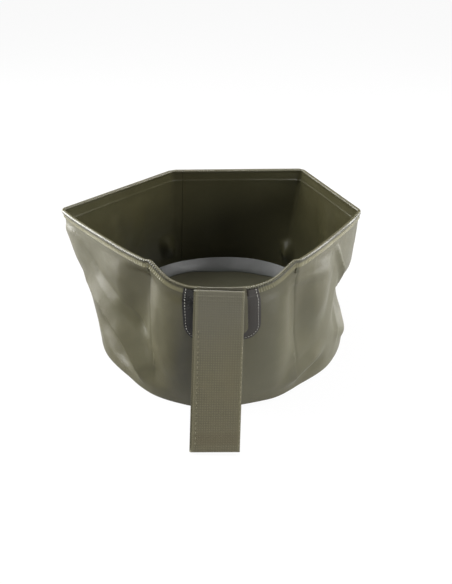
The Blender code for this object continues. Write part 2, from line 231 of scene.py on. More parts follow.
def through(points, steps):
    """Even steps of a smooth curve through all of a line's points."""
    if len(points) == 2:
        share = np.linspace(0, 1, steps)[:, None]
        return points[0] + (points[1] - points[0]) * share
    padded = np.vstack([2 * points[0] - points[1], points, 2 * points[-1] - points[-2]])
    place = np.linspace(0, len(points) - 1, steps)
    index = np.minimum(place.astype(int), len(points) - 2)
    share = (place - index)[:, None]
    before, start, end, after = (padded[index + shift] for shift in range(4))
    bend = 2 * before - 5 * start + 4 * end - after
    twist = 3 * start - 3 * end + after - before
    return start + 0.5 * share * (end - before + share * (bend + share * twist))


def round_corner(before, start, end, after, steps):
    """The inner steps of a soft corner between two rods."""
    share = np.linspace(0, 1, steps + 2)[1:-1, None]
    reach = np.linalg.norm(end - start)
    leave = unit(start - before) * reach
    arrive = unit(after - end) * reach
    square = share * share
    cube = square * share
    return (
        start * (2 * cube - 3 * square + 1) + leave * (cube - 2 * square + share)
        + end * (3 * square - 2 * cube) + arrive * (cube - square)
    )


# Where the base's outline leaves its circle: a turn in degrees, a push outward and a half width in degrees
BASE_OUTLINE = (
    (222, -0.0026, 20),
    (239, 0.0030, 16),
    (262, 0.0070, 28),
    (293, 0.0022, 16),
    (308, -0.0030, 18),
    (90, -0.0030, 55),
)


def base_radius(turn):
    """The radius of the wall's foot at each turn: a little more than the CAD base's, with a few bends."""
    beyond_base = 0.0007
    radius = np.full_like(turn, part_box("base_disc")[1].x + beyond_base)
    for middle, push, half_width in BASE_OUTLINE:
        away = (turn - radians(middle) + pi) % tau - pi
        share = np.clip(np.abs(away) / radians(half_width), 0, 1)
        radius += push * (1 - share * share) ** 2
    return radius


class Mouth:
    """The line of the rods round the mouth, in steps, with the directions of the wall at each step.

    At each step full is 1 where the hem is round a rod and less in a corner, owner is the index of the
    rod or -1 in a corner, and run and turn are the distance and the angle round the mouth.
    """

    def __init__(self):
        rods = [rod_line(side) for side in SIDES]
        points = []
        full = []
        owner = []
        for index, rod in enumerate(rods):
            following = rods[(index + 1) % len(rods)]
            points.append(through(rod, ROD_STEPS))
            points.append(round_corner(rod[-2], rod[-1], following[0], following[1], CORNER_STEPS))
            share = np.linspace(-1, 1, CORNER_STEPS + 2)[1:-1]
            full += [np.ones(ROD_STEPS), HEM_SLACK + (1 - HEM_SLACK) * share * share]
            owner += [np.full(ROD_STEPS, index), np.full(CORNER_STEPS, -1)]
        self.points = np.vstack(points)
        self.full = np.concatenate(full)
        self.owner = np.concatenate(owner)
        gaps = np.linalg.norm(np.roll(self.points, -1, 0) - self.points, axis=1)
        first = np.linalg.norm(self.points[0] - self.points[-CORNER_STEPS // 2])
        self.run = first + np.concatenate([[0], np.cumsum(gaps)[:-1]])
        self.girth = gaps.sum()
        self.closed_run = np.append(self.run, self.run[0] + self.girth)
        self.turn = (pi + tau * self.run / self.girth) % tau
        self.radial = np.stack([np.cos(self.turn), np.sin(self.turn), 0 * self.turn], axis=1)
        self.foot = self.radial * base_radius(self.turn)[:, None]
        self.along = unit(np.roll(self.points, -1, 0) - np.roll(self.points, 1, 0))
        rise = self.points - self.foot
        self.up = unit(rise - self.along * dot(rise, self.along))
        self.out = np.cross(self.along, self.up)
        self.count = len(self.points)

    def middle_of(self, side):
        """The run at the middle of a side."""
        own = self.run[self.owner == SIDES.index(side)]
        return (own[0] + own[-1]) / 2


def fold_push(fold, turn, height, radius):
    """How far a fold, given as in FOLDS, pushes the cloth outward at each turn and height."""
    left, right, sharp, *path = fold
    spots = np.array([(radians(degrees) * radius, up * MM) for degrees, up, _ in path])
    nearest = np.full(turn.shape, np.inf)
    hand = np.zeros(turn.shape)
    push = np.zeros(turn.shape)
    for index, (start, step) in enumerate(zip(spots[:-1], np.diff(spots, axis=0))):
        across = ((turn - start[0] / radius + pi) % tau - pi) * radius
        above = height - start[1]
        share = np.clip((across * step[0] + above * step[1]) / (step @ step), 0, 1)
        gap = np.hypot(across - step[0] * share, above - step[1] * share)
        closer = gap < nearest
        first, last = path[index][2] * MM, path[index + 1][2] * MM
        nearest = np.where(closer, gap, nearest)
        hand = np.where(closer, step[0] * above - step[1] * across, hand)
        push = np.where(closer, first + (last - first) * ease(share), push)
    share = np.clip(nearest / np.where(hand > 0, right * MM, left * MM), 0, 1)
    roll = (1 - share * share) ** 2
    crest = (1 - share) ** 1.7
    return push * (roll + (crest - roll) * sharp)


# The wall's creases and swellings. Each has its half width on the left and on the right, as seen from
# outside going down its path, a sharpness from 0 for a soft roll to 1 for a knife edge, and its path: a
# turn in degrees, a height and a push outward at each place. Lengths are in mm.
FOLDS = {
    "left bulge": (34, 34, 0, (181, 156, 0), (184, 138, 4), (188, 112, 5), (193, 80, 0)),
    "left ridge": (
        13, 30, 0.8, (190, 104, 0), (194, 84, 4), (207, 75, 6.5), (222, 52, 7.5), (232, 23, 7),
        (238, 3, 3)
    ),
    "left hollow": (30, 16, 0, (194, 68, 0), (206, 46, -8), (218, 32, -7), (229, 12, -2)),
    "left valley": (14, 32, 0.6, (193, 142, 0), (206, 114, -4), (220, 98, -5), (230, 82, -5), (238, 64, 0)),
    "left shoulder": (44, 40, 0, (216, 150, 0), (218, 122, 2), (221, 102, 2), (226, 84, 0)),
    "corner valley": (
        44, 26, 0.1, (241, 168, -4), (240, 142, -10), (237, 115, -10), (235.5, 80, -8), (236.5, 55, -7),
        (240, 32, -5), (244, 10, 0)
    ),
    "point crease": (8, 6, 0.9, (227, 87, 0), (233, 74, -1.2), (238, 65, 0)),
    "corner column": (30, 34, 0, (255, 152, 1), (255, 110, 4), (254, 60, 5), (254, 8, 1)),
    "patch hollow": (24, 30, 0, (262, 100, 0), (262, 50, -3), (262, 5, 0)),
    "right column": (34, 26, 0, (291, 155, 0), (292, 110, 4), (292, 60, 5), (290, 8, 1)),
    "right valley": (22, 34, 0, (303, 160, -2), (304, 120, -5), (305, 80, -6), (306, 40, 0)),
    "right shoulder": (34, 22, 0.1, (327, 156, 0), (324, 128, 4), (320, 105, 5), (314, 65, 0)),
    "under the rim": (8, 8, 0, (327, 133, 0), (313, 139, 1.2), (302, 143, 1.2), (292, 130, 0)),
    "right ridge": (10, 6, 0.8, (334, 160, 0), (338, 132, 3), (341, 112, 5), (341, 94, 4), (338, 80, 0)),
    "right waist": (
        52, 36, 0.1, (332, 92, 0), (342, 78, -11), (351, 64, -15), (362, 62, -14), (374, 72, -6),
        (386, 86, 0)
    ),
    "right belly": (22, 26, 0, (340, 40, 0), (346, 22, 4), (352, 6, 2)),
    "belly crease": (12, 8, 0.6, (338, 82, 0), (337, 66, 3), (337, 38, 3), (333, 12, 0)),
    "foot ridge": (16, 12, 0.5, (325, 40, 0), (314, 28, 5), (304, 19, 5), (297, 3, 2)),
    "foot hollow": (12, 12, 0.1, (324, 22, 0), (313, 11, -5), (302, 3, 0)),
    "nick": (4, 3, 0.9, (233, 158, 0), (236, 148, 1.5), (238, 138, 0)),
    "nick two": (4, 3, 0.9, (237, 159, 0), (239, 150, -1.2), (240, 142, 0)),
    "nick three": (5, 4, 0.9, (304, 160, 0), (302, 152, 1.2), (300, 144, 0)),
    "nick four": (4, 3, 0.9, (308, 164, 0), (306, 156, -1.2), (304, 148, 0)),
    "back right knuckle": (14, 14, 0.1, (56, 58, 0), (54, 36, -9), (52, 12, 0)),
    "back left knuckle": (14, 14, 0.1, (123, 66, 0), (121, 44, -8), (119, 18, 0)),
    "back left hollow": (24, 24, 0, (146, 150, 0), (143, 100, -4), (150, 40, 0)),
    "back right hollow": (24, 24, 0, (30, 150, 0), (24, 90, -5), (28, 30, 0)),
    "rear column": (30, 30, 0, (92, 120, 0), (92, 60, 3), (92, 10, 0)),
    "left rear ridge": (14, 30, 0.5, (176, 130, 0), (164, 80, 5), (152, 20, 0)),
    "right rear ridge": (30, 14, 0.5, (10, 120, 0), (22, 65, 5), (34, 15, 0)),
}

# Over these heights the folds fade out below the hem and above the foot
FOLD_TOP_FADE = 0.014
FOLD_FOOT_FADE = 0.016

# The wall's slow ripples and its finer crumple: how far they push, and how close together they are
RIPPLE = 0.0007
RIPPLE_SCALE = 20.0
CRUMPLE = 0.00015
CRUMPLE_SCALE = 90.0


class Wall:
    """The middle of the wall's cloth as a grid of (step round the mouth, row down), with its normals."""

    def __init__(self, mouth, cloth, hem):
        self.mouth = mouth
        top = mouth.points - mouth.up * (hem.pinch + SKIN_GAP)
        hem_end = mouth.points - mouth.up * (hem.inner_leg + SKIN_GAP)
        foot_top = mouth.foot + np.array([0, 0, cloth.foot])
        hem_rows = 7
        foot_rows = 3
        body_rows = WALL_ROWS - hem_rows - foot_rows
        rows = [top + (hem_end - top) * share for share in np.linspace(0, 1, hem_rows, endpoint=False)]
        rows += [hem_end + (foot_top - hem_end) * share for share in np.linspace(0, 1, body_rows)]
        foot_shares = np.linspace(0, 1, foot_rows + 1)[1:]
        rows += [foot_top + (mouth.foot - foot_top) * share for share in foot_shares]
        self.grid = np.stack(rows, axis=1)
        self.grid[:, -1, 2] += FLOOR_GAP
        free_from = mouth.points - mouth.up * (hem.outer_leg + SKIN_GAP)
        self.push_folds(free_from[:, None, 2], foot_top[:, None, 2])
        self.set_normals()
        below = np.linalg.norm(np.diff(self.grid, axis=1), axis=2)
        start = np.full((mouth.count, 1), hem.pinch + SKIN_GAP)
        self.depth = np.hstack([start, start + np.cumsum(below, axis=1)])

    def push_folds(self, top, foot):
        turn = np.broadcast_to(self.mouth.turn[:, None], self.grid.shape[:2])
        height = self.grid[..., 2]
        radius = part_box("base_disc")[1].x
        push = np.zeros(turn.shape)
        for fold in FOLDS.values():
            push += fold_push(fold, turn, height, radius)
        push += self.wrinkles(turn, height, radius)
        push *= ease((top - height) / FOLD_TOP_FADE) * ease((height - foot) / FOLD_FOOT_FADE)
        self.grid += self.mouth.radial[:, None] * push[..., None]

    def wrinkles(self, turn, height, radius):
        """Slow ripples, and a finer crumple, both the same each run."""
        spots = np.stack([np.cos(turn) * radius, np.sin(turn) * radius, height], axis=-1).reshape(-1, 3)
        slow = [noise.noise(Vector(spot * RIPPLE_SCALE)) for spot in spots]
        fine = [noise.noise(Vector(spot * CRUMPLE_SCALE)) for spot in spots]
        return (RIPPLE * np.array(slow) + CRUMPLE * np.array(fine)).reshape(turn.shape)

    def set_normals(self):
        round_rim = np.roll(self.grid, -1, 0) - np.roll(self.grid, 1, 0)
        down = np.gradient(self.grid, axis=1)
        self.normals = unit(np.cross(down, round_rim))

    def place(self, run, depth, offset):
        """Places at runs round the rim and depths below the rod, moved off the cloth by an offset."""
        mouth = self.mouth
        spot = np.interp(run, mouth.run, np.arange(mouth.count))
        index = np.minimum(spot.astype(int), mouth.count - 2)
        share = (spot - index)[..., None]
        corners = []
        for column in (index, index + 1):
            corners.append(self.at(column, depth) + offset[..., None] * self.normal_at(column, depth))
        return corners[0] + (corners[1] - corners[0]) * share

    def row_at(self, column, depth):
        own = self.depth[column]
        row = np.sum(own[..., :-1] < depth[..., None], axis=-1) - 1
        row = np.clip(row, 0, self.depth.shape[1] - 2)
        start = np.take_along_axis(own, row[..., None], -1)[..., 0]
        end = np.take_along_axis(own, row[..., None] + 1, -1)[..., 0]
        return row, ((depth - start) / (end - start))[..., None]

    def at(self, column, depth):
        row, share = self.row_at(column, depth)
        here = self.grid[column, row] + (self.grid[column, row + 1] - self.grid[column, row]) * share
        above = self.mouth.points[column] - self.mouth.up[column] * depth[..., None]
        return np.where((depth < self.depth[0, 0])[..., None], above, here)

    def normal_at(self, column, depth):
        row, share = self.row_at(column, depth)
        share = np.clip(share, 0, 1)
        here = self.normals[column, row] * (1 - share) + self.normals[column, row + 1] * share
        return np.where((depth < self.depth[0, 0])[..., None], self.mouth.out[column], unit(here))


def shell(name, outer, inner, flat, wrap=False, materials=(), inside_material=0):
    """A closed sheet between two grids of points, with a UV map in metres from a grid of flat places."""
    across, down = outer.shape[:2]
    count = across * down
    spot = np.arange(count).reshape(across, down)
    if wrap:
        spot = np.vstack([spot, spot[:1]])
    mark = np.arange(flat.shape[0] * down).reshape(-1, down)
    flat = flat.reshape(-1, 2)

    def corners(grid):
        return [grid[:-1, :-1], grid[1:, :-1], grid[1:, 1:], grid[:-1, 1:]]

    def quads(parts):
        return np.stack([part.ravel() for part in parts], axis=-1)

    faces = [quads(corners(spot)), quads(corners(spot)) + count]
    places = [quads(corners(mark)), quads(corners(mark))]
    slots = [0, inside_material]
    edges = [(spot[:, 0], mark[:, 0]), (spot[:, -1], mark[:, -1])]
    if not wrap:
        edges += [(spot[0], mark[0]), (spot[-1], mark[-1])]
    for line, marks in edges:
        faces.append(quads([line[:-1], line[1:], line[1:] + count, line[:-1] + count]))
        places.append(quads([marks[:-1], marks[1:], marks[1:], marks[:-1]]))
        slots.append(0)
    mesh = bpy.data.meshes.new(name)
    verts = np.vstack([outer.reshape(-1, 3), inner.reshape(-1, 3)])
    mesh.from_pydata(verts.tolist(), [], np.vstack(faces).tolist())
    uv_map = mesh.uv_layers.new(name="flat")
    uv_map.data.foreach_set("uv", flat[np.vstack(places).ravel()].ravel())
    slot_of_face = np.repeat(slots, [len(part) for part in faces])
    mesh.polygons.foreach_set("material_index", slot_of_face.astype(np.int32))
    return finish_mesh(name, mesh, materials)


def add_object(name, data):
    made = bpy.data.objects.new(name, data)
    bpy.context.scene.collection.objects.link(made)
    return made


def finish_mesh(name, mesh, materials):
    """Turn a closed mesh's faces outward, shade it smooth and give it its materials."""
    sharp_from = radians(48)
    work = bmesh.new()
    work.from_mesh(mesh)
    bmesh.ops.recalc_face_normals(work, faces=work.faces)
    work.to_mesh(mesh)
    work.free()
    mesh.shade_smooth()
    mesh.set_sharp_from_angle(angle=sharp_from)
    for finish in materials:
        mesh.materials.append(finish)
    return add_object(name, mesh)


def flat_grid(across, down):
    """Flat places from the distances across and down a sheet."""
    return np.stack(np.meshgrid(across, down, indexing="ij"), axis=-1)


def profile_normals(profile):
    """Normals along open profiles of (out, up) points, to the left of their direction."""
    step = np.gradient(profile, axis=-2)
    return unit(np.stack([-step[..., 1], step[..., 0]], axis=-1))


class Signal:
    """A value in a node tree, so that sums can be written as Python."""

    def __init__(self, nodes, socket):
        self.nodes = nodes
        self.socket = socket

    def math(self, operation, *values):
        return self.nodes.node("ShaderNodeMath", {"operation": operation}, dict(enumerate(values)))

    def __add__(self, other):
        return self.math("ADD", self, other)

    def __radd__(self, other):
        return self.math("ADD", other, self)

    def __sub__(self, other):
        return self.math("SUBTRACT", self, other)

    def __rsub__(self, other):
        return self.math("SUBTRACT", other, self)

    def __mul__(self, other):
        return self.math("MULTIPLY", self, other)

    def __rmul__(self, other):
        return self.math("MULTIPLY", other, self)

    def __pow__(self, other):
        return self.math("POWER", self, other)

    def __rpow__(self, other):
        return self.math("POWER", other, self)

    def sine(self):
        return self.math("SINE", self)

    def absolute(self):
        return self.math("ABSOLUTE", self)

    def at_most(self, limit):
        return self.math("MINIMUM", self, limit)

    def at_least(self, limit):
        return self.math("MAXIMUM", self, limit)

    def smooth(self, low, high):
        """0 below low, 1 above high, and a soft step between."""
        settings = {"interpolation_type": "SMOOTHSTEP"}
        return self.nodes.node("ShaderNodeMapRange", settings, {0: self, 1: low, 2: high, 3: 0.0, 4: 1.0})

    def near(self, middle, width):
        """1 at the middle, falling softly to 0 at a width from it."""
        return 1.0 - (self - middle).absolute().smooth(0.0, width)


class Nodes:
    """A node tree, and the one method that makes its nodes."""

    def __init__(self, tree):
        self.tree = tree

    def feed(self, socket, value):
        if isinstance(value, Signal):
            self.tree.links.new(value.socket, socket)
        else:
            socket.default_value = value

    def node(self, kind, settings=None, inputs=None, output=0):
        """Make a node, set it, feed its sockets with values or signals, and return one of its outputs."""
        made = self.tree.nodes.new(kind)
        for name, value in (settings or {}).items():
            setattr(made, name, value)
        for key, value in (inputs or {}).items():
            self.feed(made.inputs[key], value)
        return Signal(self, made.outputs[output]) if made.outputs else None


class Shade(Nodes):
    """The nodes of one material, with its shader."""

    def __init__(self, name):
        self.material = bpy.data.materials.new(name)
        self.material.use_nodes = True
        super().__init__(self.material.node_tree)
        self.shader = self.tree.nodes["Principled BSDF"]

    def set(self, **values):
        """Feed the shader's sockets, named with _ for a space."""
        for name, value in values.items():
            self.feed(self.shader.inputs[name.replace("_", " ")], value)

    def place(self):
        return self.node("ShaderNodeTexCoord", output="Object")

    def flat(self):
        """The two parts of the sheet's own flat place, in metres."""
        uv = self.node("ShaderNodeUVMap", {"uv_map": "flat"})
        return [self.node("ShaderNodeSeparateXYZ", inputs={0: uv}, output=part) for part in (0, 1)]

    def cloud(self, scale, detail=2.0, roughness=0.5):
        inputs = {"Vector": self.place(), "Scale": scale, "Detail": detail, "Roughness": roughness}
        return self.node("ShaderNodeTexNoise", inputs=inputs)

    def mix(self, share, first, second):
        """A colour between two colours."""
        inputs = {"Factor": share, 6: first, 7: second}
        return self.node("ShaderNodeMix", {"data_type": "RGBA"}, inputs, output=2)

    def bump(self, height, strength, distance, under=None):
        inputs = {"Height": height, "Strength": strength, "Distance": distance}
        if under is not None:
            inputs["Normal"] = under
        return self.node("ShaderNodeBump", inputs=inputs)


def tint(colour, factor, warm=0.0):
    """A colour made lighter or darker, and warmer or cooler."""
    gains = (factor * (1 + warm), factor, factor * (1 - warm))
    return (*(min(part * gain, 1.0) for part, gain in zip(colour, gains)), 1.0)


def paler(colour, share):
    """A colour greyed by a share, at the same brightness."""
    mean = sum(colour) / 3
    return (*(part + (mean - part) * share for part in colour), 1.0)


def coated_cloth(
    name, colour, scrim, roughness, gloss=0.5, scrim_show=0.35,
    pucker=0.0, seam=None, lit_right=0.0, shaded_grooves=(), highlight_edge=None
):
    """Cloth under a smooth plastic coating, through which its woven core shows faintly.

    It may have pleats at a pitch of pucker and a welded seam at a run round the mouth. It may be painted
    lighter towards its right side, painted light and shade that stands in for a shadow on its left and a
    sheen on its right. At distances down the sheet it may have dark lines of painted shade, in the creases
    where a hem closes on the wall, and a light line of painted highlight along a cut edge.
    """
    scrim_relief = 0.00006
    shade_width = 0.0012
    seam_width = 0.0009
    highlight_from, highlight_to = 0.0011, 0.0004
    lit_reach = 0.03
    shade = Shade(name)
    across, down = shade.flat()
    broad = shade.cloud(7.0, detail=3.0)
    blotch = shade.cloud(42.0, detail=4.0, roughness=0.6)
    rub = shade.cloud(150.0, detail=3.0, roughness=0.6).smooth(0.62, 0.80)
    plain = shade.mix(broad.smooth(0.32, 0.68), tint(colour, 0.88, 0.02), tint(colour, 1.10, -0.02))
    wear_and_sheen = shade.mix(blotch.smooth(0.45, 0.75) * 0.5, plain, tint(colour, 1.22, 0.01))
    coating = shade.mix(rub * 0.22, wear_and_sheen, tint(colour, 1.7))

    weave = (across * (tau / scrim)).sine() * (down * (tau / scrim)).sine()
    grain = shade.bump(shade.cloud(620.0, roughness=0.6), strength=0.10, distance=0.0004)
    woven = shade.bump(weave, scrim_show, scrim_relief, under=grain)
    waver = shade.cloud(75.0, detail=3.0, roughness=0.55)
    relief = shade.bump(waver, strength=0.22, distance=0.0012, under=woven)

    # painted shade: a dark line along each crease where the hem closes on the wall
    for shaded_groove in shaded_grooves:
        coating = shade.mix(down.near(shaded_groove, shade_width) * 0.75, coating, tint(colour, 0.22))
    # painted highlight: a light line along the hem's lower cut edge
    if highlight_edge is not None:
        edge_highlight = down.smooth(highlight_edge - highlight_from, highlight_edge - highlight_to)
        coating = shade.mix(edge_highlight * 0.55, coating, tint(colour, 2.4))
    # painted light and shade: lighter towards the right, standing in for the strap's shadow on the left and
    # a sheen on the right
    if lit_right:
        coating = shade.mix(across.smooth(0.0, lit_reach) * lit_right, coating, tint(colour, 3.5, 0.06))
    if pucker:
        pleats = (across * (tau / pucker)).sine() * shade.cloud(30.0, detail=1.0).smooth(0.40, 0.62)
        relief = shade.bump(pleats, strength=0.7, distance=0.0003, under=relief)
    if seam is not None:
        weld = across.near(seam, seam_width)
        coating = shade.mix(weld * 0.55, coating, tint(colour, 0.35))
        relief = shade.bump(weld, strength=0.8, distance=0.0006, under=relief)
    uneven = blotch * 0.16 + broad * 0.10
    shade.set(Base_Color=coating, Roughness=uneven + (roughness - 0.12), Normal=relief)
    shade.set(Specular_IOR_Level=gloss, IOR=1.5)
    return shade.material


def webbing(name, strap, colour):
    """Flat-woven webbing: square floats of yarn in rows, with tighter edges.

    It is painted greyer near the top of the strap, a painted sheen, and darker and browner in a band near
    its lower end. Its floats of yarn are painted lighter and the hollows between them darker: painted
    highlight and painted shade of the weave's relief.
    """
    edge_from = strap.width / 2 - 0.0035
    edge_to = edge_from + 0.0012
    sheen_full_to, sheen_gone_from = 0.045, 0.120
    low_band_rises = (0.146, 0.153)
    low_band_falls = (0.160, 0.164)
    shade = Shade(name)
    across, along = shade.flat()
    turn = tau / strap.yarn
    warp = (across * turn).sine() * 0.5 + 0.5
    weft = (along * turn).sine() * 0.5 + 0.5
    wander = shade.cloud(220.0, roughness=0.6)
    float_height = (warp * weft) ** 0.6 * 0.8 + wander * 0.4
    ribs = (across * (turn * 2)).sine() * 0.5 + 0.5
    mottle = shade.cloud(60.0, detail=3.0, roughness=0.6)
    broad = shade.cloud(14.0)
    # painted sheen: the strap is painted greyer near its top
    wear_and_sheen = 1.0 - (along + broad * 0.05).smooth(sheen_full_to, sheen_gone_from)
    # darker and browner in a band near the strap's lower end, just above its fold
    low_band = along.smooth(*low_band_rises) * (1.0 - along.smooth(*low_band_falls))
    edge = across.absolute().smooth(edge_from, edge_to)

    # painted highlight and shade: the yarn's floats are painted lighter and the hollows between them darker
    yarn = shade.mix(float_height.smooth(0.3, 0.9), tint(colour, 0.72, 0.04), tint(colour, 1.22))
    aged = shade.mix(mottle.smooth(0.35, 0.7) * 0.5, yarn, tint(colour, 1.05, 0.05))
    toned = shade.mix(broad.smooth(0.35, 0.65) * 0.35, aged, tint(colour, 0.90, 0.08))
    sheened = shade.mix(wear_and_sheen * 0.6, toned, paler(colour, 0.45))
    dark = shade.mix(low_band * 0.5, sheened, tint(colour, 0.70, 0.14))
    edged = shade.mix(edge * 0.35, dark, tint(colour, 1.35))
    fuzz = shade.bump(shade.cloud(900.0, roughness=0.7), strength=0.25, distance=0.0003)
    relief = shade.bump(float_height * 0.75 + ribs * 0.25, strength=0.6, distance=0.0003, under=fuzz)
    shade.set(Base_Color=edged, Roughness=mottle * 0.2 + 0.56, Normal=relief)
    shade.set(Specular_IOR_Level=0.4, Sheen_Weight=0.15, Sheen_Roughness=0.5)
    return shade.material


def thread_material(name, colour):
    """Twisted sewing thread, a little shiny."""
    shade = Shade(name)
    wind = shade.cloud(1400.0)
    shade.set(
        Base_Color=shade.mix(wind, tint(colour, 0.75), tint(colour, 1.15)),
        Roughness=wind * 0.2 + 0.45,
        Normal=shade.bump(wind, strength=0.5, distance=0.0003),
    )
    return shade.material


def rod_material():
    """Drawn grey rod with faint streaks."""
    shade = Shade("drawn rod")
    streak = shade.cloud(240.0, detail=3.0, roughness=0.6)
    shade.set(
        Base_Color=shade.mix(streak, (0.24, 0.24, 0.23, 1), (0.36, 0.36, 0.34, 1)),
        Roughness=streak * 0.15 + 0.38,
        Normal=shade.bump(streak, strength=0.15, distance=0.0003),
    )
    return shade.material


class Workshop:
    """What the operators share: the mouth, the wall and the materials, each made once."""

    def __init__(self, scene):
        self.cloth = scene.bucket_cloth
        self.hem = scene.bucket_hem
        self.patch = scene.bucket_patch
        self.strap = scene.bucket_strap
        self.mouth = Mouth()
        self.wall = Wall(self.mouth, self.cloth, self.hem)
        cloth = self.cloth
        scrim = cloth.scrim
        seam = self.mouth.girth * SEAM_SHARE
        self.outside = coated_cloth("coated cloth outside", cloth.outside, scrim, roughness=0.42, gloss=0.55)
        # The hem's cloth has painted shade in its creases and a painted highlight along its lower cut edge.
        self.hem_outside = coated_cloth(
            "coated cloth of the hem", cloth.outside, scrim, roughness=0.42, gloss=0.55,
            pucker=HEM_PUCKER, seam=seam, shaded_grooves=self.hem_shaded_grooves(), highlight_edge=self.hem_width()
        )
        # The inside's darker colour is painted shade.
        self.inside = coated_cloth(
            "coated cloth inside", cloth.inside, scrim, roughness=0.32, gloss=0.6, scrim_show=0.25, seam=seam
        )
        # The base's greyer colour is painted sheen.
        self.base = coated_cloth(
            "coated cloth of the base", cloth.base, scrim, roughness=0.30, gloss=0.8, scrim_show=0.25
        )
        # The margin's pale grey is painted sheen.
        self.margin = coated_cloth(
            "coated cloth of the margin", cloth.margin, scrim, roughness=0.30, gloss=0.9, scrim_show=0.25
        )
        # The charcoal is painted lighter towards its right: painted light and shade.
        self.charcoal = coated_cloth(
            "charcoal patch cloth", self.patch.colour, scrim, roughness=0.28, scrim_show=0.9, lit_right=0.7
        )
        self.webbing = webbing("olive webbing", self.strap, self.strap.colour)
        self.thread = thread_material("sewing thread", self.strap.thread)
        self.pale_thread = thread_material("pale sewing thread", self.patch.thread)
        self.rod = rod_material()

    def hem_round(self):
        """How much cloth goes round a rod."""
        return self.hem.tunnel * HEM_WRAP

    def hem_shaded_grooves(self):
        """Where the hem closes on the wall below the rod, inside and outside: the places of its lines of
        painted shade.
        """
        past_the_pinch = 0.0006
        inside = self.hem.inner_leg - self.hem.pinch + past_the_pinch
        return inside, inside + self.hem_round()

    def hem_width(self):
        return self.hem.inner_leg + self.hem.outer_leg - 2 * self.hem.pinch + self.hem_round()


@cache
def workshop():
    return Workshop(bpy.context.scene)


def cross_the_rim(piece):
    """Bake a piece's place into its mesh."""
    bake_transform(piece)


class BUCKET_OT_wall(bpy.types.Operator):
    """Build the wall of coated cloth, with its folds"""

    bl_idname = "bucket.wall"
    bl_label = "Wall"

    def execute(self, context):
        shop = workshop()
        wall = shop.wall
        half = shop.cloth.thickness / 2
        runs = shop.mouth.closed_run
        flat = flat_grid(runs, wall.depth.mean(axis=0))
        outer = wall.grid + wall.normals * half
        inner = wall.grid - wall.normals * half
        finishes = [shop.outside, shop.inside]
        piece = shell("wall_cloth", outer, inner, flat, wrap=True, materials=finishes, inside_material=1)
        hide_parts("wall")
        cross_the_rim(piece)
        return {"FINISHED"}


def hem_profiles(shop):
    """The middle of the hem's cloth at each step: up inside, over the rod and down outside.

    The rows of its two legs crowd towards their cut edges.
    """
    hem = shop.hem
    clear = shop.cloth.thickness + SKIN_GAP
    radius = hem.corner + (hem.tunnel - hem.corner) * shop.mouth.full[:, None]
    reach = (pi + HEM_WRAP) / 2
    turns = np.linspace(reach, pi - reach, HEM_ROUND_ROWS)
    in_up = -hem.inner_leg + (hem.inner_leg - hem.pinch) * np.linspace(0, 1, HEM_INNER_ROWS) ** 2
    out_up = -hem.outer_leg + (hem.outer_leg - hem.pinch) * np.linspace(1, 0, HEM_OUTER_ROWS) ** 1.5
    in_out = -clear - hem.lip * (1 - ease((in_up + hem.inner_leg) / HEM_LIP_DEPTH))
    out_out = clear + hem.lip * OUTER_LIP_SHARE * (1 - ease((out_up + hem.outer_leg) / HEM_LIP_DEPTH))
    steps = np.ones_like(radius)
    out = np.hstack([steps * in_out, radius * np.cos(turns), steps * out_out])
    up = np.hstack([steps * in_up, radius * np.sin(turns), steps * out_up])
    return np.stack([out, up], axis=-1)


class BUCKET_OT_hem(bpy.types.Operator):
    """Build the hem that is turned over the rods"""

    bl_idname = "bucket.hem"
    bl_label = "Hem"

    def execute(self, context):
        shop = workshop()
        piece = self.make_hem(shop)
        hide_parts("rim_hem")
        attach(piece, "rim")
        return {"FINISHED"}

    def make_hem(self, shop):
        mouth = shop.mouth
        profile = hem_profiles(shop)
        normals = -profile_normals(profile)
        half = shop.cloth.thickness / 2
        faces = []
        for side in (1, -1):
            edge = profile + normals * half * side
            place = mouth.points[:, None] + mouth.out[:, None] * edge[..., :1]
            place = place + mouth.up[:, None] * edge[..., 1:]
            leg = edge[:, :HEM_INNER_ROWS]
            runs = np.broadcast_to(mouth.run[:, None], leg.shape[:2])
            place[:, :HEM_INNER_ROWS] = shop.wall.place(runs, -leg[..., 1], leg[..., 0])
            faces.append(place)
        steps = np.linalg.norm(np.diff(profile.mean(axis=0), axis=0), axis=1)
        flat = flat_grid(mouth.closed_run, np.append(0, np.cumsum(steps)))
        finishes = [shop.hem_outside, shop.inside]
        hem = shell("rim_hem_cloth", faces[0], faces[1], flat, wrap=True, materials=finishes)
        self.darken_inner_leg(hem, profile.shape[1])
        return hem

    def darken_inner_leg(self, hem, rows):
        """Give the hem's cloth that shows inside the bucket the cloth of the inside, whose darker colour is
        painted shade.
        """
        for face in hem.data.polygons:
            row = sum(vertex % rows for vertex in face.vertices) / len(face.vertices)
            if row < HEM_INSIDE_ROWS:
                face.material_index = 1


def disc_place(a, b):
    """A square's places carried onto a disc of radius 1, so that the disc has no pole."""
    return a * np.sqrt(1 - b * b / 2), b * np.sqrt(1 - a * a / 2)


